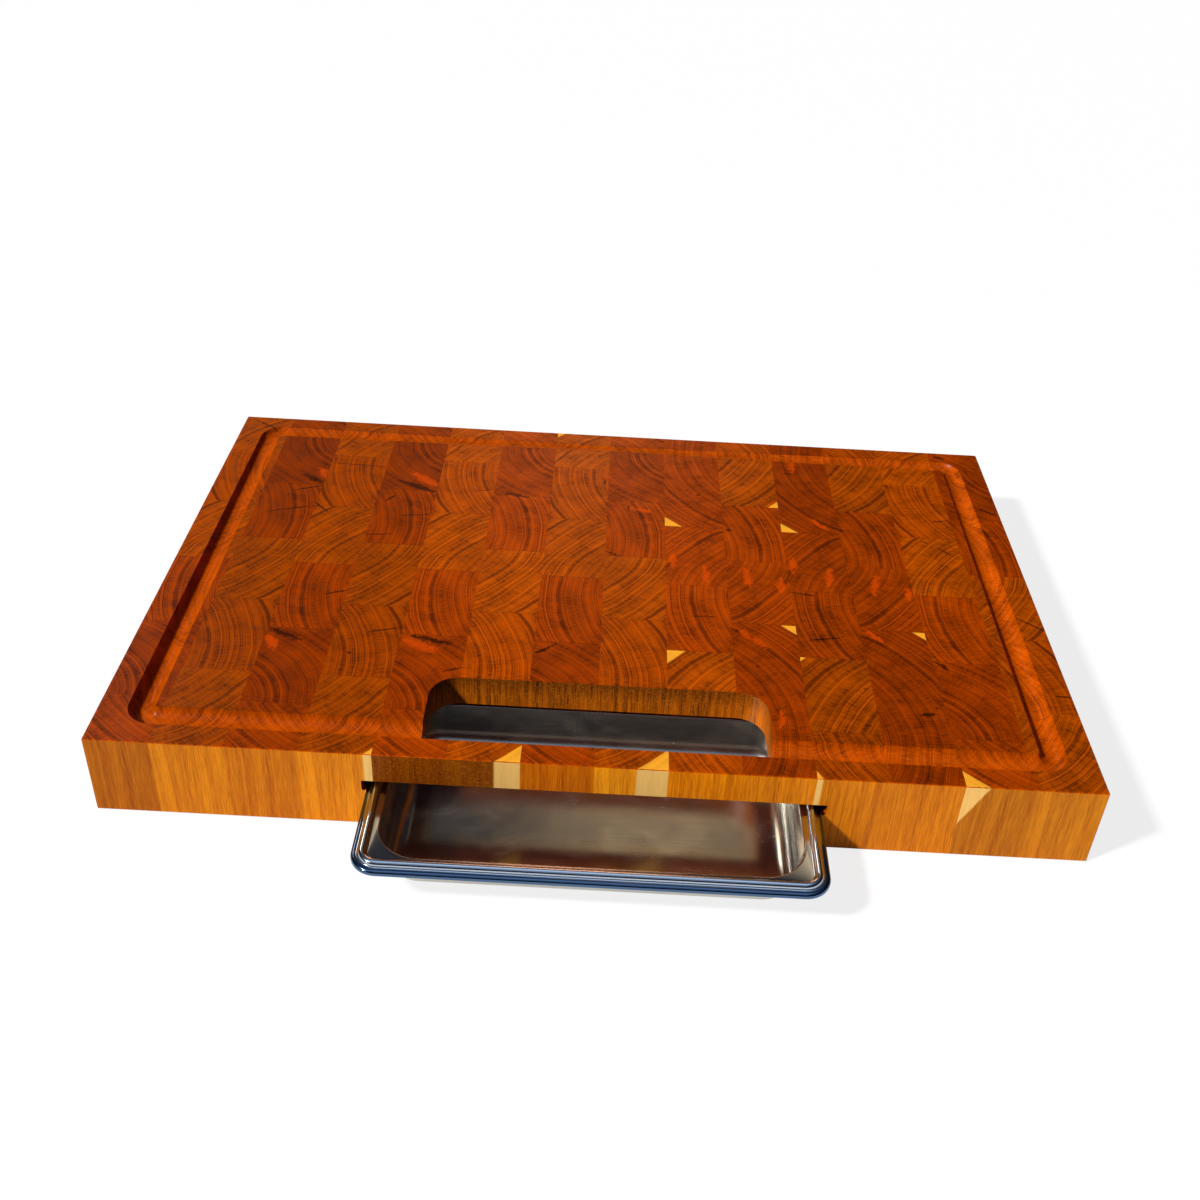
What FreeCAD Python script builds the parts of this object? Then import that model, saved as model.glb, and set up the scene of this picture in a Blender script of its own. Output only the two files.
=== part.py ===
"""End-grain cherry cutting board with a juice groove, a scrap chute and a sliding steel tray.

Millimetres, +Z up, front at -Y. The origin is the middle of the board's underside.
The tray stands partly pulled out, as it is used.
"""
import FreeCAD, Part
import math
import os

Vector = FreeCAD.Vector

# Board: one slab of end grain, its outer arrises just broken
board_width = 610.0
board_depth = 406.0
board_height = 57.0
edge_break = 0.6

# Planks: a strip is a slice through a panel of planks glued edge to edge, stood on end.
# Every other strip is turned end for end and slid by the stagger, so that the joints break.
plank_thickness = 44.1
plank_width = 76.6
narrow_plank_width = 74.2
left_strip_width = 39.5
end_block_depth = 27.5
stagger = 15.0
first_panel_planks = (plank_width, plank_width, plank_width, plank_width)
second_panel_planks = (narrow_plank_width, plank_width, plank_width)
second_panel_strips = (9, 10, 11, 12)

# Juice groove: a round-nosed cut that falls from the middle of the back round to the chute
groove_radius = 8.5
groove_inner_corner = 1.0
groove_side_inset = 26.0
groove_back_inset = 22.4
groove_front_inset = 24.8
groove_depth_at_back_middle = 1.0
groove_depth_at_back_corner = 4.4
groove_depth_at_front_corner = 6.4
groove_depth_at_chute = 6.8

# Scrap chute: the opening through the top, above the tray
chute_width = 214.0
chute_length = 59.9
chute_front_inset = 16.6
chute_corner_radius = 19.0

# Tray: drawn from one sheet of stainless steel
tray_width = 275.0
tray_length = 162.0
tray_pull = 68.0
tray_floor_lift = 1.2
sheet = 0.8
rim_width = 12.0
rim_corner_radius = 16.0
hem_height = 3.0
hem_bend_radius = 2.0
flange_width = 3.0
bead_rise = 3.0
bead_valley_share = 0.32
shoulder_width = 2.0
pan_corner_radius = 26.0
pan_lip_radius = 1.5
pan_floor_radius = 12.0
pan_wall_slope = 82.0
bend_flat_turn = 33.0

# Slot: the upper part takes the tray's rim, the lower part lets its body through to the underside
ledge_height = 27.5
rim_slot_height = 8.0
rim_slot_corner_break = 2.0
rim_side_clearance = 3.0
rim_seat_clearance = 0.3
body_clearance = 7.2
body_slot_corner_radius = 10.0

# Cuts run past the faces that they open by this much
overrun = 2.0

half_width = board_width / 2
half_depth = board_depth / 2
front_y = -half_depth
up = Vector(0, 0, 1)


def rounded_rectangle(x_low, x_high, y_low, y_high, radius, z):
    """A level rectangle with round corners, as a closed wire of lines and quarter arcs."""
    corners = (
        (x_high - radius, y_high - radius),
        (x_low + radius, y_high - radius),
        (x_low + radius, y_low + radius),
        (x_high - radius, y_low + radius),
    )
    ends = []
    edges = []
    for quarter, (x, y) in enumerate(corners):
        start = quarter * math.pi / 2
        turns = (start, start + math.pi / 4, start + math.pi / 2)
        points = [Vector(x + radius * math.cos(a), y + radius * math.sin(a), z) for a in turns]
        if ends:
            edges.append(Part.makeLine(ends[-1], points[0]))
        edges.append(Part.Arc(*points).toShape())
        ends.extend((points[0], points[2]))
    edges.append(Part.makeLine(ends[-1], ends[0]))
    return Part.Wire(edges)


def prism(wire, height):
    """The solid that stands on a level wire."""
    return Part.Face(wire).extrude(up * height)


# Board blank and the cuts that every strip shares


def board_blank():
    """The slab before it is routed, with its arrises broken."""
    corner = Vector(-half_width, front_y, 0)
    slab = Part.makeBox(board_width, board_depth, board_height, corner)
    return slab.makeChamfer(edge_break, slab.Edges)


def groove_section(x, y, depth, along):
    """The round nose of the cutter at a place on the groove, as a circle square to its travel."""
    centre = Vector(x, y, board_height - depth + groove_radius)
    return Part.Wire(Part.makeCircle(groove_radius, centre, along))


def groove_run(start, end, along):
    """A straight stretch of groove between two places (x, y, depth), falling evenly."""
    return Part.makeLoft([groove_section(*start, along), groove_section(*end, along)], True, True)


def groove_cuts():
    """The whole groove: two falling runs along the back, the sides, and the front to the chute."""
    turn = groove_radius + groove_inner_corner
    side_x = half_width - groove_side_inset
    back_y = half_depth - groove_back_inset
    groove_front_y = front_y + groove_front_inset
    chute_x = chute_width / 2 - overrun
    sideways = Vector(1, 0, 0)
    lengthways = Vector(0, 1, 0)
    cuts = []
    for hand in (-1, 1):
        x = hand * side_x
        bend_x = hand * (side_x - turn)
        cuts.append(
            groove_run(
                (0, back_y, groove_depth_at_back_middle),
                (bend_x, back_y, groove_depth_at_back_corner),
                sideways,
            )
        )
        cuts.append(
            groove_run(
                (x, back_y - turn, groove_depth_at_back_corner),
                (x, groove_front_y + turn, groove_depth_at_front_corner),
                lengthways,
            )
        )
        cuts.append(
            groove_run(
                (bend_x, groove_front_y, groove_depth_at_front_corner),
                (hand * chute_x, groove_front_y, groove_depth_at_chute),
                sideways,
            )
        )
        back_end = Part.Face(groove_section(bend_x, back_y, groove_depth_at_back_corner, sideways))
        cuts.append(back_end.revolve(Vector(bend_x, back_y - turn, 0), up, -hand * 90))
        front_end = Part.Face(
            groove_section(bend_x, groove_front_y, groove_depth_at_front_corner, sideways)
        )
        cuts.append(front_end.revolve(Vector(bend_x, groove_front_y + turn, 0), up, hand * 90))
    return cuts


def chute_cut():
    """The chute: round back corners, square front corners, from the top down into the slot."""
    x = chute_width / 2
    y_low = front_y + chute_front_inset
    y_high = y_low + chute_length
    z_low = ledge_height + rim_slot_height - overrun
    height = board_height + overrun - z_low
    rounded = prism(
        rounded_rectangle(-x, x, y_low, y_high, chute_corner_radius, z_low), height
    )
    front = Part.makeBox(
        chute_width, chute_corner_radius, height, Vector(-x, y_low, z_low)
    )
    return rounded.fuse(front).removeSplitter()


def slot_cuts():
    """The T-shaped slot: a wide upper groove for the rim, and the open way for the body below it."""
    rim_x = tray_width / 2 + rim_side_clearance
    rim_back = front_y + tray_length + rim_side_clearance
    rim_corner = rim_corner_radius + rim_side_clearance
    body_gap = body_clearance + sheet - rim_width
    body_x = tray_width / 2 + body_gap
    body_back = front_y + tray_length + body_gap
    rim_mouth = front_y - rim_corner - overrun
    body_mouth = front_y - body_slot_corner_radius - overrun
    rim_slot = prism(
        rounded_rectangle(-rim_x, rim_x, rim_mouth, rim_back, rim_corner, ledge_height),
        rim_slot_height,
    )
    floor_edges = [edge for edge in rim_slot.Edges if edge.BoundBox.ZMax < ledge_height + sheet]
    rim_slot = rim_slot.makeFillet(rim_slot_corner_break, floor_edges)
    body_slot = prism(
        rounded_rectangle(
            -body_x, body_x, body_mouth, body_back, body_slot_corner_radius, -overrun
        ),
        ledge_height + 2 * overrun,
    )
    return [rim_slot, body_slot]


# Strips of blocks


def strip_edges():
    """The x places of the glue lines between strips, with both sides of the board."""
    edges = [-half_width]
    place = -half_width + left_strip_width
    while place < half_width:
        edges.append(place)
        place += plank_thickness
    edges.append(half_width)
    return edges


def block_edges(strip):
    """The y places of one strip's joints, from the front of the board to its back."""
    planks = second_panel_planks if strip in second_panel_strips else first_panel_planks
    turned = strip % 2 == 1
    distance = end_block_depth + stagger if turned else end_block_depth
    joints = []
    for plank in (0, *planks):
        distance += plank
        joints.append(front_y + distance if turned else half_depth - distance)
    inside = [y for y in joints if front_y < y < half_depth]
    return [front_y, *sorted(inside), half_depth]


def strip_blocks(board, strip, x_low, x_high):
    """The blocks of one strip: the routed board's share of each cell between two joints."""
    edges = block_edges(strip)
    blocks = []
    for y_low, y_high in zip(edges, edges[1:]):
        cell = Part.makeBox(
            x_high - x_low,
            y_high - y_low,
            board_height,
            Vector(x_low, y_low, 0),
        )
        blocks.extend(board.common(cell).Solids)
    return blocks


# Tray


def rim_moves():
    """The rim's bends from the hem's foot inwards: straight lengths, and arcs (radius, turn).

    A turn is positive to the right of the travel, towards the underside of the sheet. The bead
    rises and falls in four arcs that meet tangent, so its rise and run give their angle.
    """
    flange_flat = flange_width - hem_bend_radius
    bead_run = (rim_width - shoulder_width - flange_width) / 2
    turn = 2 * math.atan2(bead_rise, bead_run)
    both_radii = bead_run / math.sin(turn)
    valley_radius = both_radii * bead_valley_share
    crest_radius = both_radii - valley_radius
    return (
        (hem_height - hem_bend_radius, None),
        (hem_bend_radius, math.pi / 2),
        (flange_flat, None),
        (valley_radius, -turn),
        (crest_radius, 2 * turn),
        (valley_radius, -turn),
    )


def pan_moves(depth):
    """The pan's bends from the shoulder inwards: its lip, its sloping wall and the turn to the floor."""
    slope = math.radians(pan_wall_slope)
    wall = (depth - (pan_lip_radius + pan_floor_radius) * (1 - math.cos(slope))) / math.sin(slope)
    return (
        (pan_lip_radius, slope),
        (wall, None),
        (pan_floor_radius, -slope),
    )


def sheet_side(moves, heading, offset):
    """One face of a bent sheet in its section plane, as points (distance, height).

    A bend is drawn as short flats of about bend_flat_turn each, which keeps the model light.
    offset is how far the face lies under the upper one.
    """
    distance = offset * math.sin(heading)
    height = -offset * math.cos(heading)
    points = [(distance, height)]
    for size, turn in moves:
        if turn is None:
            distance += size * math.cos(heading)
            height += size * math.sin(heading)
            points.append((distance, height))
            continue
        sense = math.copysign(1, turn)
        radius = size - sense * offset
        centre_distance = distance + radius * sense * math.sin(heading)
        centre_height = height - radius * sense * math.cos(heading)
        flats = math.ceil(abs(turn) / math.radians(bend_flat_turn))
        for flat in range(1, flats + 1):
            angle = heading - turn * flat / flats
            distance = centre_distance - radius * sense * math.sin(angle)
            height = centre_height + radius * sense * math.cos(angle)
            points.append((distance, height))
        heading -= turn
    return points


def sheet_section(moves, heading, centre, corner_radius, angle, z):
    """A section through a bent sheet in the upright plane at an angle about a corner's centre."""
    upper = sheet_side(moves, heading, 0)
    lower = sheet_side(moves, heading, sheet)
    places = [
        Vector(
            centre.x + (corner_radius - distance) * math.cos(angle),
            centre.y + (corner_radius - distance) * math.sin(angle),
            z + height,
        )
        for distance, height in [*upper, *reversed(lower)]
    ]
    return Part.Face(Part.makePolygon([*places, places[0]]))


def pressed_band(moves, heading, x, y_low, y_high, corner_radius, z):
    """A bent sheet round a rectangle: its section turned at the corners and drawn along the sides."""
    corner_x = x - corner_radius
    corners = (
        Vector(corner_x, y_high - corner_radius, 0),
        Vector(-corner_x, y_high - corner_radius, 0),
        Vector(-corner_x, y_low + corner_radius, 0),
        Vector(corner_x, y_low + corner_radius, 0),
    )
    pieces = []
    for quarter, corner in enumerate(corners):
        angle = quarter * math.pi / 2
        turned = sheet_section(moves, heading, corner, corner_radius, angle, z)
        pieces.append(turned.revolve(corner, up, 90))
        drawn = sheet_section(moves, heading, corner, corner_radius, angle + math.pi / 2, z)
        pieces.append(drawn.extrude(corners[(quarter + 1) % len(corners)] - corner))
    return pieces


def steel_tray():
    """The whole tray: rim, flat shoulder, pan and floor as one pressed sheet."""
    y_low = front_y - tray_pull
    y_high = y_low + tray_length
    x = tray_width / 2
    foot_z = ledge_height + rim_seat_clearance
    top_z = foot_z + hem_height
    rim = pressed_band(rim_moves(), math.pi / 2, x, y_low, y_high, rim_corner_radius, foot_z)

    bead_end = rim_width - shoulder_width
    shoulder_wire = rounded_rectangle(
        -x + bead_end,
        x - bead_end,
        y_low + bead_end,
        y_high - bead_end,
        rim_corner_radius - bead_end,
        top_z - sheet,
    )
    pan_x = x - rim_width
    pan_low = y_low + rim_width
    pan_high = y_high - rim_width
    opening_wire = rounded_rectangle(
        -pan_x, pan_x, pan_low, pan_high, pan_corner_radius, top_z - sheet
    )
    shoulder = prism(shoulder_wire, sheet).cut(prism(opening_wire, sheet))

    moves = pan_moves(top_z - sheet - tray_floor_lift)
    pan = pressed_band(moves, 0, pan_x, pan_low, pan_high, pan_corner_radius, top_z)
    wall_run, _ = sheet_side(moves, 0, 0)[-1]
    floor_wire = rounded_rectangle(
        -pan_x + wall_run,
        pan_x - wall_run,
        pan_low + wall_run,
        pan_high - wall_run,
        pan_corner_radius - wall_run,
        tray_floor_lift,
    )
    floor = prism(floor_wire, sheet)
    return floor.multiFuse([shoulder, *rim, *pan]).removeSplitter()


def main():
    os.makedirs("parts", exist_ok=True)
    board = board_blank().cut([*groove_cuts(), chute_cut(), *slot_cuts()])
    edges = strip_edges()
    for strip, (x_low, x_high) in enumerate(zip(edges, edges[1:]), start=1):
        blocks = strip_blocks(board, strip, x_low, x_high)
        name = f"end_grain_strip_{strip:02d}"
        Part.makeCompound(blocks).exportStep(f"parts/{name}.step")
        print(name, len(blocks), "blocks", [block.isValid() for block in blocks].count(False), "bad")
    tray = steel_tray()
    tray.Solids[0].exportStep("parts/steel_tray.step")
    print("steel_tray", len(tray.Solids), "solid", tray.isValid(), round(tray.Volume))


main()
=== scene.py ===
import math

import bpy
import numpy as np
from mathutils import Matrix, Vector


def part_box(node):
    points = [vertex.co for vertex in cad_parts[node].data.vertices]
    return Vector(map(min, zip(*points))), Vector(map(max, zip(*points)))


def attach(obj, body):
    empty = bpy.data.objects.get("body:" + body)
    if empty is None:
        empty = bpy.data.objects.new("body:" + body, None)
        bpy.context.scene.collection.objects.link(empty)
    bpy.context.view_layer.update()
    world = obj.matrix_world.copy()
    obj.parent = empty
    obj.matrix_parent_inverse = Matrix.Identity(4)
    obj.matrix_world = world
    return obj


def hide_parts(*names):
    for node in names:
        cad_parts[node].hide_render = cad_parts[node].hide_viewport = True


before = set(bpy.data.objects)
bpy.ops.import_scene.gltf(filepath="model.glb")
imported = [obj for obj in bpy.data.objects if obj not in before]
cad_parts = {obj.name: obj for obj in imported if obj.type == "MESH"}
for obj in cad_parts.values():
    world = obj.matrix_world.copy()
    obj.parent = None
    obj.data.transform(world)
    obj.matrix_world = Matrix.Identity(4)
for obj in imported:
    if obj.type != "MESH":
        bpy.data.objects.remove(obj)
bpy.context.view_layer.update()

# End-grain blocks: black cherry sawn across planks, glued, planed flat and oiled. A strip is one slice
# through a glued-up panel, and every other strip is turned end for end, so neighbours show the same
# planks the other way round. The CAD nodes stay, each with the wood of its own slice.
MM = 1000.0
half_breadth = 305.0
half_depth = 203.0
plank_width = 76.6
narrow_plank_width = 74.2
end_block_depth = 27.5
stagger = 15.0
board_thickness = 57.0
glue_half_width = 0.3

# Planks of a panel from front to back: pith across and along the strip, ring width, wood.
# All in mm, in a strip that isn't turned.
first_panel = (
    ((-75, -92), 2.6, "pale"),
    ((-112, -125), 2.5, "middle"),
    ((-100, 60), 2.7, "pale"),
    ((-105, 45), 2.8, "red"),
    ((50, 180), 2.6, "dark"),
    ((-60, 130), 2.6, "red"),
)
second_panel = (
    ((-90, -160), 3.0, "dark"),
    ((-90, 60), 3.0, "red"),
    ((-110, 40), 2.8, "red"),
    ((-120, 225), 2.9, "pale"),
    ((-100, 150), 2.7, "middle"),
)
second_panel_strips = (9, 10, 11, 12)

# Radius at which a plank's sapwood starts in a slice, by strip and by plank counted from the front
sapwood_radius = {
    4: {0: 143.5},
    6: {0: 137.0},
    7: {0: 132.0},
    8: {0: 134.9},
    9: {0: 151.0, 3: 179.3},
    10: {0: 153.0, 3: 182.6},
    11: {0: 151.2, 3: 185.3, 4: 141.0},
    12: {0: 154.2},
    13: {5: 115.0},
}
no_sapwood = 400.0

# How fast the sapwood's edge leans away from the pith, down through the slice, where it shows
sapwood_lean = {13: 0.31}

# Oiled end grain drinks more finish than the sides do, so each wood has colours for both
light_colour = {"pale": "#be5000", "middle": "#ba4b00", "red": "#b24200", "dark": "#a63c00"}
dull_colour = {"pale": "#3c1100", "middle": "#3a1000", "red": "#360d00", "dark": "#300a00"}
side_light_colour = {"pale": "#e88d12", "middle": "#e08510", "red": "#da7d0e", "dark": "#d8790c"}
side_dull_colour = {"pale": "#b25c08", "middle": "#aa5406", "red": "#a64f05", "dark": "#9e4a04"}
# A cut wall inside the board is drawn darker than the planed sides: painted shade
cut_wall_colour = "#cc6606"
cut_wall_shade = "#3c1802"
groove_light_colour = "#c24e00"
groove_dull_colour = "#5a1e00"
fleck_colour = "#c87a22"
glue_colour = "#3a1503"
glue_strength = 0.35

# Slices differ in tone: a factor on each one's end grain, and a tint on its planed front. The end-grain
# factor is partly painted sheen, lighter in the middle strips and darker towards the sides
slice_end_tone_and_sheen = {
    1: 0.94,
    2: 0.8,
    3: 0.9,
    4: 0.84,
    5: 1.06,
    6: 1.1,
    9: 1.08,
    11: 0.86,
    12: 0.88,
    14: 0.88,
}
plain_side_tint = (0.9, 0.86, 0.78)
plain_front_tint = (1.0, 0.96, 0.85)
# Front tints are partly each slice's own tint and partly painted light: strips 8 to 10, over the tray, are
# brightened to stand in for light that the tray keeps off them
front_tint_and_painted_light = {
    1: (0.72, 0.68, 0.6),
    2: (0.88, 0.84, 0.7),
    3: (0.92, 0.92, 0.9),
    5: (0.36, 0.27, 0.12),
    6: (0.34, 0.25, 0.12),
    7: (0.97, 0.82, 0.5),
    8: (1.2, 1.28, 1.4),
    9: (1.16, 1.1, 0.6),
    10: (1.2, 1.3, 1.4),
    12: (1.06, 1.12, 1.2),
    13: (0.8, 0.86, 1.0),
    14: (0.8, 0.78, 0.9),
}
quartered_strips = (5, 6)
sap_end_colour = "#f6a52a"
sap_side_colour = "#f2c06c"

# Checks, knots and gum flecks that the slices show: from, to, half width in mm, and what it is
marks = {
    1: (((-298, 198), (-276, 184), 0.8, "check"),),
    2: (
        ((-242, 90), (-222, 98), 1.0, "check"),
        ((-257, 57), (-222, 69), 0.8, "check"),
        ((-238, 113), (-223, 103), 3.4, "knot"),
        ((-228, 124), (-222, 112), 3.4, "gum"),
    ),
    3: (
        ((-220, 134), (-178, 132), 0.6, "check"),
        ((-222, 73), (-211, 62), 0.9, "check"),
        ((-192, -44), (-177, -38), 0.9, "check"),
        ((-219, -86), (-200, -96), 3.4, "knot"),
        ((-219, -95), (-212, -106), 4.2, "gum"),
        ((-212, 169), (-205, 167), 0.7, "check"),
    ),
    4: (
        ((-162, 111), (-136, 99), 3.4, "knot"),
        ((-154, 123), (-136, 109), 5.2, "gum"),
        ((-170, 81), (-164, 90), 1.3, "check"),
        ((-155, 62), (-133, 65), 0.7, "check"),
        ((-176, 33), (-159, 36), 0.7, "check"),
        ((-155, -84), (-133, -77), 0.8, "check"),
        ((-164, -107.6), (-163, -107.6), 1.7, "check"),
    ),
    5: (
        ((-103, 103), (-90, 106), 0.7, "check"),
        ((-126, -86), (-99, -93), 2.6, "knot"),
        ((-129, -91), (-110, -100), 4.6, "gum"),
        ((-100, -121), (-90, -117), 1.0, "check"),
        ((-92, 198), (-90, 195), 0.9, "check"),
    ),
    6: (((-80, 101), (-62, 98), 2.2, "knot"),),
    7: (
        ((-4, 130), (-3.5, 123), 1.2, "check"),
        ((-42, -97), (-30, -86), 1.0, "check"),
        ((-43, -97), (-37, -93), 2.0, "knot"),
    ),
    8: (
        ((-1, 28), (11, 22), 0.8, "check"),
        ((15, 92), (16, 87), 1.1, "check"),
        ((17, 89), (32, 87), 2.4, "gum"),
    ),
    9: (
        ((69, 114), (71, 115), 1.2, "check"),
        ((60, -47), (75, -46), 0.7, "check"),
        ((72, 15), (72, -5), 2.8, "gum"),
        ((49, 28), (48.5, 13), 2.6, "gum"),
    ),
    10: (
        ((90, 66), (93, 66), 2.4, "check"),
        ((102, -99), (104, -98), 1.2, "check"),
        ((101, 14), (102.5, -7), 3.0, "gum"),
        ((126, 6), (124.5, -11), 2.6, "gum"),
        ((94, -62), (110, -78), 2.2, "gum"),
        ((115.5, -143), (113.5, -159), 2.0, "gum"),
    ),
    11: (
        ((140, 155), (147, 155), 1.2, "check"),
        ((132, -12), (149, -15), 0.9, "check"),
        ((140, -67), (160, -63), 1.1, "check"),
        ((170.5, -116), (171, -116), 1.2, "check"),
        ((162, 19), (160, -2), 3.2, "gum"),
        ((136.5, 32), (134.8, 13), 2.8, "gum"),
        ((148, 174), (147, 158), 2.4, "gum"),
        ((157, 86), (166, 74), 2.4, "gum"),
    ),
    12: (
        ((176, 73), (178, 74), 1.6, "check"),
        ((204, -139), (212, -138), 2.0, "check"),
        ((214, -132), (215, -132), 1.2, "check"),
        ((195.5, 13), (191, -9), 3.0, "gum"),
        ((216.5, 0), (215, -14), 2.4, "gum"),
        ((179, -52), (190, -66), 2.0, "gum"),
    ),
    13: (
        ((220, 144), (227, 142), 0.8, "check"),
        ((250, 93), (262, 96), 0.9, "check"),
        ((236, 65), (241, 61), 0.7, "check"),
        ((247, 56), (258, 46), 0.7, "check"),
        ((222, -84), (229, -92), 1.6, "knot"),
    ),
    14: (
        ((268, 197), (275, 193), 2.0, "knot"),
        ((291, 116), (302, 108), 1.2, "check"),
        ((290, -31), (304, -42), 0.9, "check"),
        ((294, -113), (305, -114), 0.9, "check"),
    ),
}
mark_colour = {"check": "#1c0a02", "knot": "#2a0d02", "gum": "#d84800"}
mark_strength = {"check": 0.92, "knot": 0.92, "gum": 0.6}

# The noise that frays a mark's edge, in mm: the size of its features, and how far it moves the edge
mark_fray = {"check": (2.5, 3.0), "knot": (5.0, 8.0), "gum": (5.0, 10.0)}


def linear(colour):
    """An sRGB hex colour as linear red, green, blue and full alpha."""
    shares = [int(colour[i : i + 2], 16) / 255 for i in (1, 3, 5)]
    return (*[s / 12.92 if s <= 0.04045 else ((s + 0.055) / 1.055) ** 2.4 for s in shares], 1.0)


def add(tree, kind, inputs, **settings):
    """A node with its settings. An input is a value, an output to link, or a node whose first output is
    linked."""
    node = tree.nodes.new("ShaderNode" + kind)
    for name, value in settings.items():
        setattr(node, name, value)
    for socket, value in inputs.items():
        if isinstance(value, bpy.types.Node):
            value = value.outputs[0]
        if isinstance(value, bpy.types.NodeSocket):
            tree.links.new(value, node.inputs[socket])
        else:
            node.inputs[socket].default_value = value
    return node


def material_tree(name):
    """A new material, its node tree and its Principled shader."""
    material = bpy.data.materials.new(name)
    material.use_nodes = True
    return material, material.node_tree, material.node_tree.nodes["Principled BSDF"]


def plank_joints(panel):
    """The glue joints of a strip that isn't turned, from front to back."""
    first_width = narrow_plank_width if panel is second_panel else plank_width
    back = half_depth - end_block_depth
    joints = [back, back - first_width]
    while len(joints) < len(panel) - 1:
        joints.append(joints[-1] - plank_width)
    return sorted(joints)


def oiled_cherry(strip, x_low, x_high):
    """Oiled black cherry, one slice of a panel: growth rings round each plank's pith, carried down
    through the strip, so the top shows arcs and the sides show long grain. Satin, with a thin sheen."""
    panel = second_panel if strip in second_panel_strips else first_panel
    sapwood = sapwood_radius.get(strip, {})
    way = -1 if strip % 2 else 1
    middle = (x_low + x_high) / 2 * MM
    material, tree, shader = material_tree(f"oiled_cherry_{strip:02d}")
    coordinates = add(tree, "TexCoord", {})
    place = add(
        tree,
        "VectorMath",
        {0: coordinates.outputs["Object"], 1: (MM, MM, MM)},
        operation="MULTIPLY",
    )
    slice_place = add(
        tree,
        "VectorMath",
        {0: place, 1: (way, way, 1), 2: (-way * middle, stagger if way < 0 else 0, 0)},
        operation="MULTIPLY_ADD",
    )
    across = add(tree, "SeparateXYZ", {0: slice_place})
    along = across.outputs["Y"]

    # The plank under a point: each joint passed hands over to the next plank behind it
    planks = []
    for number, (pith, width, wood) in enumerate(panel):
        planks.append(
            {
                "pith": (*pith, sapwood.get(number, no_sapwood)),
                "width": width,
                "light": linear(light_colour[wood]),
                "dull": linear(dull_colour[wood]),
                "side_light": linear(side_light_colour[wood]),
                "side_dull": linear(side_dull_colour[wood]),
            }
        )
    pith = planks[0]["pith"]
    width = planks[0]["width"]
    light = planks[0]["light"]
    dull = planks[0]["dull"]
    side_light = planks[0]["side_light"]
    side_dull = planks[0]["side_dull"]
    glue = None
    for joint, plank in zip(plank_joints(panel), planks[1:]):
        passed = add(tree, "Math", {0: along, 1: joint}, operation="GREATER_THAN")
        pith = add(tree, "Mix", {0: passed, 4: pith, 5: plank["pith"]}, data_type="VECTOR").outputs[1]
        width = add(tree, "Mix", {0: passed, 2: width, 3: plank["width"]}).outputs[0]
        light = add(tree, "Mix", {0: passed, 6: light, 7: plank["light"]}, data_type="RGBA").outputs[2]
        dull = add(tree, "Mix", {0: passed, 6: dull, 7: plank["dull"]}, data_type="RGBA").outputs[2]
        side_light = add(
            tree, "Mix", {0: passed, 6: side_light, 7: plank["side_light"]}, data_type="RGBA"
        ).outputs[2]
        side_dull = add(
            tree, "Mix", {0: passed, 6: side_dull, 7: plank["side_dull"]}, data_type="RGBA"
        ).outputs[2]
        at_joint = add(tree, "Math", {0: along, 1: joint, 2: glue_half_width}, operation="COMPARE")
        glue = at_joint if glue is None else add(tree, "Math", {0: glue, 1: at_joint}, operation="MAXIMUM")

    # Rings: distance from the pith, bent by slow noise, 42 mm across and 260 mm down the grain. Late wood
    # is the dark line that ends a ring, and both its strength and the wood's tone change from year to year
    bend_place = add(
        tree,
        "VectorMath",
        {0: slice_place, 1: (1 / 42, 1 / 42, 1 / 260)},
        operation="MULTIPLY",
    )
    bend = add(tree, "TexNoise", {"Vector": bend_place, "Scale": 1.0, "Detail": 2.0, "Roughness": 0.5})
    bent = add(
        tree,
        "VectorMath",
        {0: bend.outputs["Color"], 1: (6, 6, 0), 2: slice_place},
        operation="MULTIPLY_ADD",
    )
    from_pith = add(tree, "VectorMath", {0: bent, 1: pith}, operation="SUBTRACT")
    flat = add(tree, "VectorMath", {0: from_pith, 1: (1, 1, 0)}, operation="MULTIPLY")
    radius = add(tree, "VectorMath", {0: flat}, operation="LENGTH").outputs["Value"]
    years = add(tree, "Math", {0: radius, 1: width}, operation="DIVIDE")
    season = add(tree, "TexNoise", {"W": years, "Scale": 0.45, "Detail": 1.0}, noise_dimensions="1D")
    uneven = add(tree, "Math", {0: season.outputs[0], 1: 2.2, 2: years}, operation="MULTIPLY_ADD")
    year = add(tree, "Math", {0: uneven}, operation="FLOOR")
    growth = add(tree, "ValToRGB", {0: add(tree, "Math", {0: uneven}, operation="FRACT")})
    ramp = growth.color_ramp.elements
    for spot, shade in ((0.0, 0.25), (0.07, 0.0), (0.7, 0.08), (0.9, 1.0), (1.0, 0.8)):
        stop = ramp[0] if spot == 0 else ramp[-1] if spot == 1 else ramp.new(spot)
        stop.color = (shade, shade, shade, 1)
    vigour = add(tree, "TexWhiteNoise", {"W": year}, noise_dimensions="1D")
    streak = add(
        tree, "TexNoise", {"W": years, "Scale": 0.8, "Detail": 2.0, "Roughness": 0.5}, noise_dimensions="1D"
    )
    fine = add(
        tree, "TexNoise", {"W": years, "Scale": 3.6, "Detail": 1.0, "Roughness": 0.6}, noise_dimensions="1D"
    )
    fade_place = add(tree, "VectorMath", {0: slice_place, 1: (1 / 20, 1 / 20, 1 / 90)}, operation="MULTIPLY")
    fade = add(tree, "TexNoise", {"Vector": fade_place, "Scale": 1.0, "Detail": 3.0, "Roughness": 0.6})
    strength = add(tree, "Math", {0: vigour.outputs[0], 1: fade.outputs[0]}, operation="MULTIPLY")
    line_share = add(tree, "MapRange", {0: strength, 1: 0.05, 2: 0.45, 3: 0.4, 4: 1.0})
    late = add(tree, "Math", {0: growth.outputs[0], 1: line_share}, operation="MULTIPLY")

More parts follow.
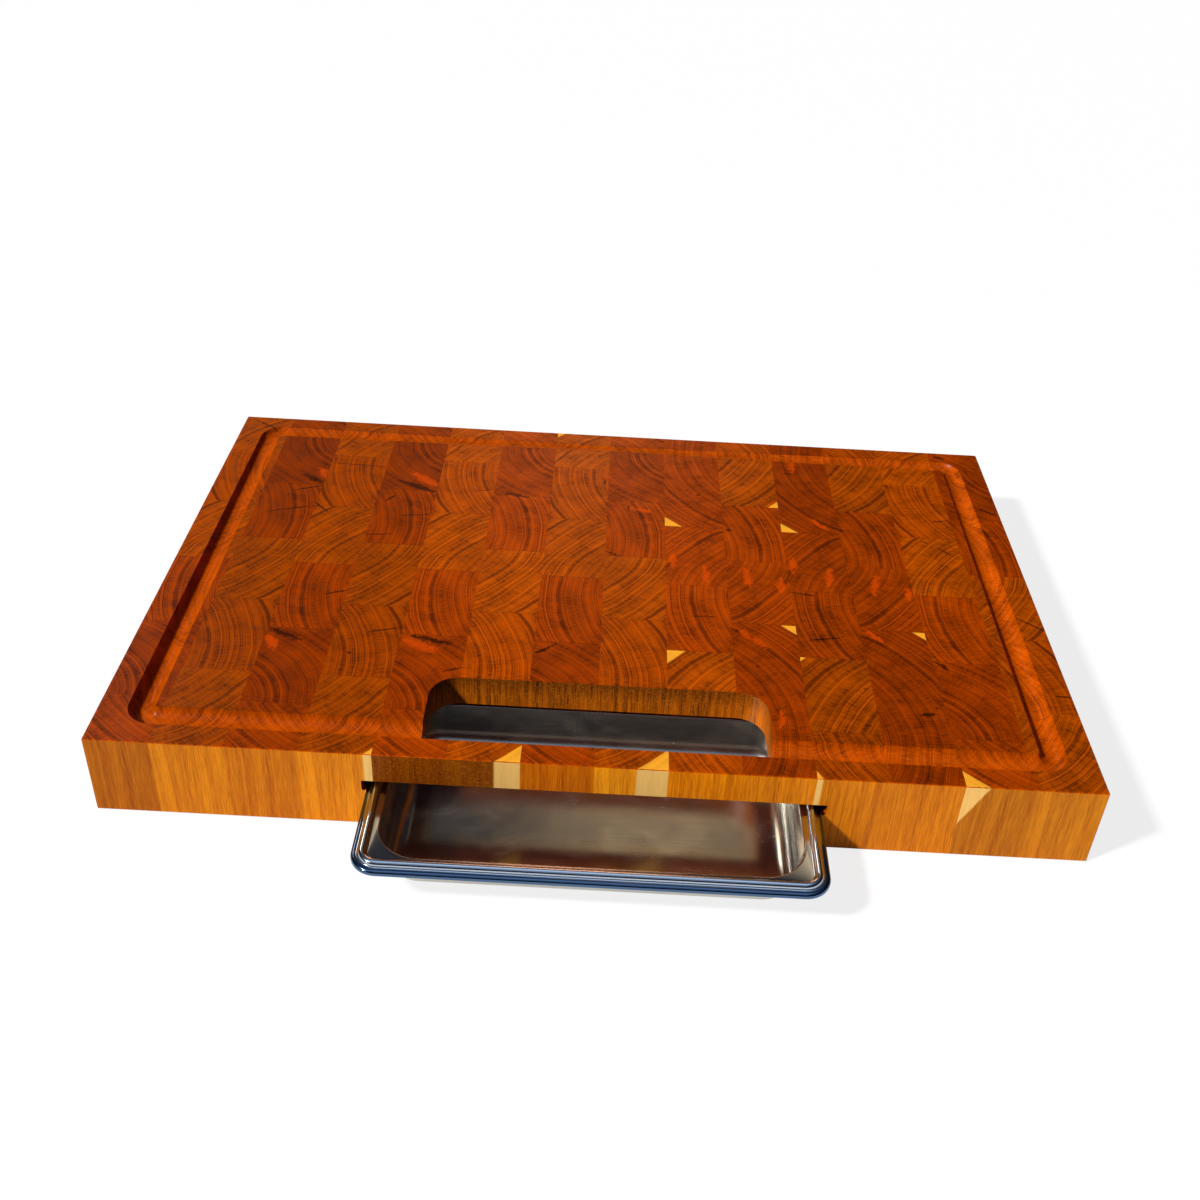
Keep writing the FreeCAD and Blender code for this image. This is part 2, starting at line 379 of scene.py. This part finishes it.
    # Rays: fine pale streaks that run out from the pith, drawn about 1 mm apart so that they show
    parts = add(tree, "SeparateXYZ", {0: from_pith})
    turn = add(tree, "Math", {0: parts.outputs["Y"], 1: parts.outputs["X"]}, operation="ARCTAN2")
    ray_place = add(
        tree,
        "CombineXYZ",
        {
            "X": add(tree, "Math", {0: turn, 1: 110.0}, operation="MULTIPLY"),
            "Y": add(tree, "Math", {0: radius, 1: 1 / 9}, operation="MULTIPLY"),
        },
    )
    ray = add(tree, "TexNoise", {"Vector": ray_place, "Scale": 1.0, "Detail": 1.0}, noise_dimensions="2D")

    # Pores: specks on the end grain, long vertical strokes on the sides, drawn about 1 mm wide so that
    # they show
    pore_place = add(
        tree, "VectorMath", {0: slice_place, 1: (1.1, 1.1, 1 / 18)}, operation="MULTIPLY"
    )
    pore = add(tree, "TexNoise", {"Vector": pore_place, "Scale": 1.0, "Detail": 2.0, "Roughness": 0.7})

    shares = (
        (streak.outputs[0], 1.0),
        (fine.outputs[0], 1.0),
        (fade.outputs[0], 1.3),
        (ray.outputs[0], 0.7),
        (pore.outputs[0], 0.8),
    )
    lift = 0.14
    tone = 0.5 - 0.5 * sum(share for source, share in shares) + lift
    for source, share in shares:
        tone = add(tree, "Math", {0: source, 1: share, 2: tone}, operation="MULTIPLY_ADD")
    tone = add(tree, "Math", {0: tone, 1: 0}, operation="ADD", use_clamp=True)
    grain = add(tree, "Mix", {0: tone, 6: dull, 7: light}, data_type="RGBA").outputs[2]
    line_strength = 0.72
    drawn_line = add(tree, "Math", {0: late, 1: line_strength}, operation="MULTIPLY")
    grain = add(tree, "Mix", {0: drawn_line, 6: grain, 7: dull}, data_type="RGBA").outputs[2]
    # The slice's end-grain factor, partly painted sheen
    end_tone_and_sheen = slice_end_tone_and_sheen.get(strip, 1.0)
    grain = add(
        tree,
        "Mix",
        {0: 1.0, 6: grain, 7: (end_tone_and_sheen, end_tone_and_sheen, end_tone_and_sheen, 1)},
        data_type="RGBA",
        blend_type="MULTIPLY",
    ).outputs[2]

    # Sides: long grain with short pore strokes and soft clouds. The planed outside is golden, and a cut wall
    # inside the board is drawn darker, painted shade for the chute and the slot, and darker still towards the
    # top edge
    stroke_place = add(tree, "VectorMath", {0: slice_place, 1: (2.1, 2.1, 1 / 12)}, operation="MULTIPLY")
    stroke = add(tree, "TexNoise", {"Vector": stroke_place, "Scale": 1.0, "Detail": 2.0, "Roughness": 0.6})
    side_shares = (
        (streak.outputs[0], 0.9),
        (fade.outputs[0], 1.0),
        (stroke.outputs[0], 2.0),
    )
    side_lift = 0.1
    side_line_strength = 0.35
    side_tone = 0.5 - 0.5 * sum(share for source, share in side_shares) + side_lift
    for source, share in (*side_shares, (late, -side_line_strength)):
        side_tone = add(tree, "Math", {0: source, 1: share, 2: side_tone}, operation="MULTIPLY_ADD")
    side_tone = add(tree, "Math", {0: side_tone, 1: 0}, operation="ADD", use_clamp=True)
    # The front tint, partly painted light
    front_tint_with_light = front_tint_and_painted_light.get(strip, plain_front_tint)
    spread = add(tree, "VectorMath", {0: place}, operation="ABSOLUTE")
    inwards = add(tree, "VectorMath", {0: spread, 1: (half_breadth, half_depth, 0)}, operation="SUBTRACT")
    nearest_side = add(tree, "SeparateXYZ", {0: inwards})
    outer = add(
        tree, "Math", {0: nearest_side.outputs["X"], 1: nearest_side.outputs["Y"]}, operation="MAXIMUM"
    )
    planed = add(tree, "Math", {0: outer, 1: -1.0}, operation="GREATER_THAN")
    planed_side = add(tree, "Mix", {0: side_tone, 6: side_dull, 7: side_light}, data_type="RGBA").outputs[2]
    at_front = add(
        tree,
        "Math",
        {0: add(tree, "SeparateXYZ", {0: place}).outputs["Y"], 1: -half_depth, 2: 1.0},
        operation="COMPARE",
    )
    side_tint_with_light = add(
        tree, "Mix", {0: at_front, 6: (*plain_side_tint, 1), 7: (*front_tint_with_light, 1)}, data_type="RGBA"
    ).outputs[2]
    planed_side = add(
        tree, "Mix", {0: 1.0, 6: planed_side, 7: side_tint_with_light}, data_type="RGBA", blend_type="MULTIPLY"
    ).outputs[2]
    cut_wall = add(
        tree,
        "Mix",
        {0: side_tone, 6: linear(cut_wall_shade), 7: linear(cut_wall_colour)},
        data_type="RGBA",
    ).outputs[2]
    # Darker towards the top edge of the wall
    darker_near_top = add(tree, "MapRange", {0: across.outputs["Z"], 1: 44, 2: 55, 4: 0.5})
    cut_wall = add(
        tree, "Mix", {0: darker_near_top, 6: cut_wall, 7: linear(cut_wall_shade)}, data_type="RGBA"
    ).outputs[2]
    long_grain = add(tree, "Mix", {0: planed, 6: cut_wall, 7: planed_side}, data_type="RGBA").outputs[2]

    # Ray flecks: bright dashes, about 2 mm by 1 mm, where a slice is cut along its rays
    fleck_place = add(tree, "VectorMath", {0: slice_place, 1: (0.5, 0.5, 0.9)}, operation="MULTIPLY")
    fleck = add(tree, "TexNoise", {"Vector": fleck_place, "Scale": 1.0, "Detail": 2.0, "Roughness": 0.6})
    front_flecks = 0.3 if strip in quartered_strips else 0.0
    planed_flecks = add(tree, "Math", {0: at_front, 1: front_flecks}, operation="MULTIPLY")
    fleck_share = add(tree, "Mix", {0: planed, 2: 0.35, 3: planed_flecks}).outputs[0]
    fleck_drawn = add(tree, "MapRange", {0: fleck.outputs[0], 1: 0.5, 2: 0.68, 4: fleck_share})
    long_grain = add(
        tree, "Mix", {0: fleck_drawn, 6: long_grain, 7: linear(fleck_colour)}, data_type="RGBA"
    ).outputs[2]

    # Sapwood beyond its radius, with the same rings drawn faintly
    sap_start = add(tree, "SeparateXYZ", {0: pith}).outputs["Z"]
    beyond = add(tree, "Math", {0: radius, 1: sap_start}, operation="SUBTRACT")
    lean = sapwood_lean.get(strip, 0.0)
    beyond = add(tree, "Math", {0: across.outputs["Z"], 1: lean, 2: beyond}, operation="MULTIPLY_ADD")
    beyond = add(tree, "Math", {0: beyond, 1: lean * board_thickness}, operation="SUBTRACT")
    sap = add(tree, "MapRange", {0: beyond, 1: -0.4, 2: 0.4})
    sap_tone = add(tree, "MapRange", {0: tone, 3: 0.7, 4: 1.0})
    sap_end = add(tree, "Mix", {0: sap_tone, 6: dull, 7: linear(sap_end_colour)}, data_type="RGBA").outputs[2]
    sap_side_tone = add(tree, "MapRange", {0: side_tone, 3: 0.78, 4: 1.0})
    sap_side = add(
        tree, "Mix", {0: sap_side_tone, 6: side_dull, 7: linear(sap_side_colour)}, data_type="RGBA"
    ).outputs[2]
    grain = add(tree, "Mix", {0: sap, 6: grain, 7: sap_end}, data_type="RGBA").outputs[2]
    long_grain = add(tree, "Mix", {0: sap, 6: long_grain, 7: sap_side}, data_type="RGBA").outputs[2]
    facing = add(tree, "SeparateXYZ", {0: coordinates.outputs["Normal"]})
    level = add(tree, "Math", {0: facing.outputs["Z"]}, operation="ABSOLUTE")
    end_share = add(tree, "MapRange", {0: level, 1: 0.1, 2: 0.6})
    colour = add(tree, "Mix", {0: end_share, 6: long_grain, 7: grain}, data_type="RGBA").outputs[2]

    # The round-nosed cutter left the groove smoother and redder than the planed top
    groove = add(
        tree,
        "Mix",
        {0: tone, 6: linear(groove_dull_colour), 7: linear(groove_light_colour)},
        data_type="RGBA",
    )
    slanted = add(tree, "Math", {0: level, 1: 0.12}, operation="GREATER_THAN")
    sunk = add(tree, "Math", {0: across.outputs["Z"], 1: board_thickness - 4.2, 2: 4.0}, operation="COMPARE")
    in_groove = add(tree, "Math", {0: slanted, 1: sunk}, operation="MULTIPLY")
    colour = add(tree, "Mix", {0: in_groove, 6: colour, 7: groove.outputs[2]}, data_type="RGBA").outputs[2]

    # Marks: the distance to a short line that thins towards its ends, frayed by noise
    frayed = {}
    for kind, (feature, fray) in mark_fray.items():
        fray_place = add(
            tree, "VectorMath", {0: place, 1: (1 / feature, 1 / feature, 0.02)}, operation="MULTIPLY"
        )
        noise = add(tree, "TexNoise", {"Vector": fray_place, "Scale": 1.0, "Detail": 3.0, "Roughness": 0.7})
        moved = add(
            tree,
            "VectorMath",
            {0: noise.outputs["Color"], 1: (fray, fray, 0), 2: place},
            operation="MULTIPLY_ADD",
        )
        frayed[kind] = add(
            tree,
            "VectorMath",
            {0: moved, 1: (1, 1, 0), 2: (-fray / 2, -fray / 2, 0)},
            operation="MULTIPLY_ADD",
        )
    crumb_place = add(tree, "VectorMath", {0: place, 1: (0.7, 0.7, 0.1)}, operation="MULTIPLY")
    crumb = add(
        tree, "TexNoise", {"Vector": crumb_place, "Scale": 1.0, "Detail": 3.0, "Roughness": 0.7}
    ).outputs[0]
    for start, stop, half_width, kind in marks.get(strip, ()):
        run = np.subtract(stop, start)
        offset = add(tree, "VectorMath", {0: frayed[kind], 1: (*start, 0)}, operation="SUBTRACT")
        share = add(
            tree, "VectorMath", {0: offset, 1: (*(run / (run @ run)), 0)}, operation="DOT_PRODUCT"
        ).outputs["Value"]
        share = add(tree, "Math", {0: share, 1: 0}, operation="ADD", use_clamp=True)
        nearest = add(tree, "VectorMath", {0: (*run, 0), "Scale": share}, operation="SCALE")
        distance = add(tree, "VectorMath", {0: offset, 1: nearest}, operation="DISTANCE").outputs["Value"]
        from_middle = add(tree, "Math", {0: share, 1: 2, 2: -1}, operation="MULTIPLY_ADD")
        thinning = add(tree, "Math", {0: from_middle, 1: from_middle, 2: 1}, operation="MULTIPLY_ADD")
        ragged = add(tree, "Math", {0: crumb, 1: half_width * 2.4, 2: distance}, operation="MULTIPLY_ADD")
        ragged = add(tree, "Math", {0: ragged, 1: half_width * 1.2}, operation="SUBTRACT")
        thinned = add(tree, "Math", {0: ragged, 1: thinning}, operation="MULTIPLY")
        drawn = add(
            tree,
            "MapRange",
            {0: thinned, 1: half_width * 1.4, 2: half_width * 0.3, 4: mark_strength[kind]},
        )
        colour = add(
            tree, "Mix", {0: drawn, 6: colour, 7: linear(mark_colour[kind])}, data_type="RGBA"
        ).outputs[2]
    glue_share = add(tree, "Math", {0: glue, 1: glue_strength}, operation="MULTIPLY")
    colour = add(tree, "Mix", {0: glue_share, 6: colour, 7: linear(glue_colour)}, data_type="RGBA").outputs[2]

    tree.links.new(colour, shader.inputs["Base Color"])
    sheen = add(tree, "MapRange", {0: tone, 3: 0.36, 4: 0.26})
    tree.links.new(sheen.outputs[0], shader.inputs["Roughness"])
    shader.inputs["Specular IOR Level"].default_value = 0.06
    relief = add(tree, "Bump", {"Height": tone, "Strength": 0.12, "Distance": 0.0003})
    tree.links.new(relief.outputs[0], shader.inputs["Normal"])
    return material


for strip in range(1, 15):
    name = f"end_grain_strip_{strip:02d}"
    low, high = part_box(name)
    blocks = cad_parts[name]
    blocks.data.materials.clear()
    blocks.data.materials.append(oiled_cherry(strip, low.x, high.x))

# Steel tray: stainless sheet drawn in one press stroke, with a turned-down hem, a flange, a round bead,
# flat shoulders at the corners and a pan with rounded corners. It hangs by its rim in the board's slot.
# This mesh follows the CAD tray with smooth bends and takes its place.
sheet = 0.8
rim_width = 12.0
rim_corner_radius = 16.0
hem_height = 3.0
hem_bend_radius = 2.0
flange_width = 3.0
bead_rise = 3.0
bead_valley_share = 0.32
shoulder_width = 2.0
shoulder_drop = 0.4
pan_corner_radius = 26.0
pan_lip_radius = 1.5
pan_floor_radius = 12.0
pan_wall_slope = math.radians(82)
pan_floor_step = 4.0
bend_steps = 10
corner_steps = 14
pan_colour = "#aeaba6"
hazy_pan_colour = "#c2bcae"
# The rim's blue tint is partly a painted reflection, and the hem's dark blue is a painted reflection
rim_colour_and_painted_reflection = "#b8c2d0"
hem_painted_reflection = "#526a8a"


def bent_sheet(moves, heading, offset):
    """One face of a bent sheet as (distance inwards, height). A straight run goes on along the heading.
    An arc of a radius swings about a centre that lies square to the heading, on the side it turns to.
    offset is how far the face lies under the upper one, and changes each arc's radius by as much."""
    runs = [offset * np.array([[math.sin(heading), -math.cos(heading)]])]
    for size, turn in moves:
        last = runs[-1][-1]
        if turn is None:
            runs.append(last + size * np.array([[math.cos(heading), math.sin(heading)]]))
            continue
        reach = math.copysign(size, turn) - offset
        centre = last + reach * np.array([math.sin(heading), -math.cos(heading)])
        headings = heading - turn * np.linspace(0, 1, bend_steps + 1)[1:]
        runs.append(centre + reach * np.stack([-np.sin(headings), np.cos(headings)], axis=1))
        heading = headings[-1]
    return np.concatenate(runs)


def rounded_rings(insets, radii, heights, low, high):
    """A ring of points for each (inset, corner radius, height): four quarter arcs about centres that lie
    inset + radius inside the box's corners, joined by straight sides."""
    quarters = np.array([(1, 1), (-1, 1), (-1, -1), (1, -1)])
    turns = np.arange(4)[:, None] * np.pi / 2 + np.linspace(0, np.pi / 2, corner_steps + 1)
    half = (np.subtract(high, low) / 2)[:2]
    middle = (np.add(high, low) / 2)[:2]
    reach = insets + radii
    x = middle[0] + quarters[:, :1] * (half[0] - reach)[:, None, None] + radii[:, None, None] * np.cos(turns)
    y = middle[1] + quarters[:, 1:] * (half[1] - reach)[:, None, None] + radii[:, None, None] * np.sin(turns)
    z = np.broadcast_to(heights[:, None, None], x.shape)
    return np.stack([x, y, z], axis=-1).reshape(len(insets), -1, 3)


def ring_faces(rings, points):
    """Quads between neighbouring rings of a closed band, with the last ring joined to none."""
    ring, point = np.meshgrid(np.arange(rings - 1), np.arange(points), indexing="ij")
    after = (point + 1) % points
    first = ring * points
    second = first + points
    corners = (first + point, first + after, second + after, second + point)
    return np.stack(corners, axis=-1).reshape(-1, 4)


tray_low, tray_high = (np.array(corner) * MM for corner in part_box("steel_tray"))
bead_run = (rim_width - shoulder_width - flange_width) / 2
bead_turn = 2 * math.atan2(bead_rise, bead_run)
bead_radii = bead_run / math.sin(bead_turn)
valley_radius = bead_radii * bead_valley_share
rim_moves = (
    (hem_height - hem_bend_radius, None),
    (hem_bend_radius, math.pi / 2),
    (flange_width - hem_bend_radius, None),
    (valley_radius, -bead_turn),
    (bead_radii - valley_radius, 2 * bead_turn),
    (valley_radius, -bead_turn),
)
rim_top = tray_high[2] - bead_rise
pan_depth = rim_top - shoulder_drop - sheet - tray_low[2]
pan_wall = (pan_depth - (pan_lip_radius + pan_floor_radius) * (1 - math.cos(pan_wall_slope))) / math.sin(
    pan_wall_slope
)
pan_moves = ((pan_lip_radius, pan_wall_slope), (pan_wall, None), (pan_floor_radius, -pan_wall_slope))
faces_of_sheet = []
for offset in (0, sheet):
    rim = bent_sheet(rim_moves, math.pi / 2, offset)
    pan = bent_sheet(pan_moves, 0, offset)
    floor_edge = pan[-1:] + [[pan_floor_step, 0]]
    pan = np.concatenate([pan, floor_edge])
    faces_of_sheet.append(
        rounded_rings(
            np.concatenate([rim[:, 0], rim_width + pan[:, 0]]),
            np.concatenate([rim_corner_radius - rim[:, 0], pan_corner_radius - pan[:, 0]]),
            np.concatenate([rim_top - hem_height + rim[:, 1], rim_top - shoulder_drop + pan[:, 1]]),
            tray_low,
            tray_high,
        )
    )
upper, lower = faces_of_sheet
rings = np.concatenate([lower[::-1], upper])
ring_count, ring_points = rings.shape[:2]
quads = ring_faces(ring_count, ring_points)
floor_under = list(range(ring_points))
floor_over = list(range((ring_count - 1) * ring_points, ring_count * ring_points))
tray_mesh = bpy.data.meshes.new("pressed_tray")
tray_mesh.from_pydata(
    (rings.reshape(-1, 3) / MM).tolist(), [], [*quads.tolist(), floor_under[::-1], floor_over]
)
rim_rings = len(rim)
along_sheet = np.arange(ring_count) - ring_count // 2
along_sheet = np.where(along_sheet < 0, -1 - along_sheet, along_sheet)
for part, last_ring in (("hem", bend_steps + 2), ("rim", rim_rings + 1)):
    share = np.repeat(np.clip(last_ring - along_sheet, 0, 1), ring_points)
    tray_mesh.attributes.new(part, "FLOAT", "POINT").data.foreach_set("value", share.astype(np.float32))
tray_mesh.shade_smooth()
tray_mesh.set_sharp_from_angle(angle=math.radians(40))
tray = bpy.data.objects.new("pressed_tray", tray_mesh)
bpy.context.scene.collection.objects.link(tray)


def satin_stainless():
    """Drawn stainless steel: a satin pan with faint drawing lines and a milky haze of wiped grease, and a
    brighter rim that the press polished. The rim's colour is tinted with a painted blue reflection, and the
    hem is painted dark blue as a reflection."""
    material, tree, shader = material_tree("satin_stainless")
    coordinates = add(tree, "TexCoord", {})
    place = add(
        tree, "VectorMath", {0: coordinates.outputs["Object"], 1: (MM, MM, MM)}, operation="MULTIPLY"
    )
    haze_place = add(tree, "VectorMath", {0: place, 1: (1 / 45, 1 / 30, 1 / 30)}, operation="MULTIPLY")
    haze = add(
        tree,
        "TexNoise",
        {"Vector": haze_place, "Scale": 1.0, "Detail": 5.0, "Roughness": 0.6, "Distortion": 1.2},
    )
    haze_share = add(tree, "MapRange", {0: haze.outputs[0], 1: 0.42, 2: 0.68})
    line_place = add(tree, "VectorMath", {0: place, 1: (1 / 40, 1.4, 1.4)}, operation="MULTIPLY")
    lines = add(tree, "TexNoise", {"Vector": line_place, "Scale": 1.0, "Detail": 2.0})
    satin = add(tree, "MapRange", {0: lines.outputs[0], 3: 0.16, 4: 0.25})
    hazy = add(tree, "Math", {0: haze_share, 1: 0.07, 2: satin}, operation="MULTIPLY_ADD")
    rim_share = add(tree, "Attribute", {}, attribute_name="rim").outputs["Fac"]
    hem_share = add(tree, "Attribute", {}, attribute_name="hem").outputs["Fac"]
    roughness = add(tree, "Mix", {0: rim_share, 2: hazy, 3: 0.14}).outputs[0]
    tree.links.new(roughness, shader.inputs["Roughness"])
    colour = add(
        tree,
        "Mix",
        {0: haze_share, 6: linear(pan_colour), 7: linear(hazy_pan_colour)},
        data_type="RGBA",
    ).outputs[2]
    # Rim and hem colours carry a painted blue reflection
    colour = add(tree, "Mix", {0: rim_share, 6: colour, 7: linear(rim_colour_and_painted_reflection)}, data_type="RGBA").outputs[2]
    colour = add(tree, "Mix", {0: hem_share, 6: colour, 7: linear(hem_painted_reflection)}, data_type="RGBA").outputs[2]
    tree.links.new(colour, shader.inputs["Base Color"])
    shader.inputs["Metallic"].default_value = 1.0
    wave_place = add(tree, "VectorMath", {0: place, 1: (1 / 22, 1 / 22, 1 / 22)}, operation="MULTIPLY")
    wave = add(tree, "TexNoise", {"Vector": wave_place, "Scale": 1.0, "Detail": 1.0})
    relief = add(tree, "Bump", {"Height": wave.outputs[0], "Strength": 0.25, "Distance": 0.0006})
    tree.links.new(relief.outputs[0], shader.inputs["Normal"])
    return material


tray_mesh.materials.append(satin_stainless())
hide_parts("steel_tray")
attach(tray, "tray")

# Floor, light and camera: a pale sweep under soft light from the left, as in the picture. The floor lies a
# hair under the board, so that no two faces share a plane.
floor_size = 14.0
floor_height = -0.0003
floor_white = 0.82
fill_level = 0.3
camera_place = (-0.003667, -0.790553, 0.598848)
edge = floor_size / 2
floor_corners = [(x * edge, y * edge, floor_height) for x, y in ((-1, -1), (1, -1), (1, 1), (-1, 1))]
floor_mesh = bpy.data.meshes.new("floor")
floor_mesh.from_pydata(floor_corners, [], [(0, 1, 2, 3)])
floor = bpy.data.objects.new("floor", floor_mesh)
bpy.context.scene.collection.objects.link(floor)
floor_material, floor_tree, floor_shader = material_tree("pale_floor")
floor_shader.inputs["Base Color"].default_value = linear("#f6f6f5")
floor_shader.inputs["Roughness"].default_value = 0.8

# Seen straight or in the steel, the floor is part plain white, which leaves a light shadow on it
ray_path = add(floor_tree, "LightPath", {})
seen = add(
    floor_tree,
    "Math",
    {0: ray_path.outputs["Is Camera Ray"], 1: ray_path.outputs["Is Glossy Ray"]},
    operation="MAXIMUM",
)
white_share = add(floor_tree, "Math", {0: seen, 1: floor_white}, operation="MULTIPLY")
white = add(floor_tree, "Emission", {"Color": (1, 1, 1, 1), "Strength": 1.0})
floor_mix = add(floor_tree, "MixShader", {0: white_share, 1: floor_shader, 2: white})
floor_tree.links.new(floor_mix.outputs[0], floor_tree.nodes["Material Output"].inputs["Surface"])
floor_mesh.materials.append(floor_material)

sun = bpy.data.objects.new("key_light", bpy.data.lights.new("key_light", "SUN"))
sun.data.energy = 4.8
sun.data.angle = math.radians(5)
light_travel = Vector((1.0, 0.55, -1.02))
sun.rotation_euler = light_travel.to_track_quat("-Z", "Y").to_euler()
bpy.context.scene.collection.objects.link(sun)

# Studio: white behind the object, and dim all round in what the oiled top and the steel show, apart from
# soft boxes overhead and in front, and warm screens behind the board, two of them to its left
world = bpy.data.worlds.new("studio")
world.use_nodes = True
bpy.context.scene.world = world
sky = world.node_tree
aim = add(sky, "TexCoord", {}).outputs["Generated"]
climb = add(sky, "SeparateXYZ", {0: aim}).outputs["Z"]
glow = add(sky, "ValToRGB", {0: climb})
stops = glow.color_ramp.elements
for spot, colour in (
    (0.0, "#202022"),
    (0.42, "#1e1e22"),
    (0.72, "#2e3036"),
    (0.88, "#5a7596"),
    (1.0, "#6a86a8"),
):
    stop = stops[0] if spot == 0 else stops[-1] if spot == 1 else stops.new(spot)
    stop.color = linear(colour)

# A screen's direction, the degrees from its middle at which it starts to fade and is gone, level and colour
light = glow.outputs[0]
for towards, near, far, level, colour in (
    ((0.0, -0.05, 1.0), 8, 34, 1.2, "#d4e2f2"),
    ((0.0, -0.62, 0.78), 6, 24, 0.7, "#a4b8d0"),
    ((0.05, 0.69, 0.72), 0, 7, 1.4, "#ffdca8"),
    ((-0.43, 0.67, 0.6), 3, 9, 6.0, "#fff0dc"),
    ((-0.3, 0.94, 0.14), 4, 10, 3.0, "#ffe0c4"),
    ((-0.02, 0.91, 0.42), 2, 8, 7.0, "#ffb080"),
):
    nearness = add(sky, "VectorMath", {0: aim, 1: Vector(towards).normalized()}, operation="DOT_PRODUCT")
    angle = add(sky, "Math", {0: nearness.outputs["Value"]}, operation="ARCCOSINE")
    screen = add(
        sky,
        "MapRange",
        {0: angle, 1: math.radians(far), 2: math.radians(near)},
        interpolation_type="SMOOTHSTEP",
    )
    bright = (*[level * share for share in linear(colour)[:3]], 1.0)
    light = add(sky, "Mix", {0: screen, 6: light, 7: bright}, data_type="RGBA").outputs[2]
sky_path = add(sky, "LightPath", {})
light = add(
    sky, "Mix", {0: sky_path.outputs["Is Camera Ray"], 6: light, 7: (1, 1, 1, 1)}, data_type="RGBA"
).outputs[2]
sky.links.new(light, sky.nodes["Background"].inputs["Color"])
sky_seen = add(
    sky,
    "Math",
    {0: sky_path.outputs["Is Camera Ray"], 1: sky_path.outputs["Is Glossy Ray"]},
    operation="MAXIMUM",
)
sky_level = add(sky, "MapRange", {0: sky_seen, 3: fill_level, 4: 1.0})
sky.links.new(sky_level.outputs[0], sky.nodes["Background"].inputs["Strength"])

camera = bpy.data.objects.new("camera", bpy.data.cameras.new("camera"))
camera.data.sensor_width = 36.0
camera.data.lens = 40.25
down = math.radians(35.60)
heading = math.radians(0.068)
roll = math.radians(3.125)
level_right = np.array((math.cos(heading), -math.sin(heading), 0))
forward = np.array(
    (math.sin(heading) * math.cos(down), math.cos(heading) * math.cos(down), -math.sin(down))
)
level_up = np.cross(level_right, forward)
right = level_right * math.cos(roll) + level_up * math.sin(roll)
up = level_up * math.cos(roll) - level_right * math.sin(roll)
camera.matrix_world = Matrix(
    [[right[i], up[i], -forward[i], place] for i, place in enumerate(camera_place)]
    + [[0, 0, 0, 1]]
)
bpy.context.scene.collection.objects.link(camera)
bpy.context.scene.camera = camera
bpy.context.scene.view_settings.view_transform = "Standard"
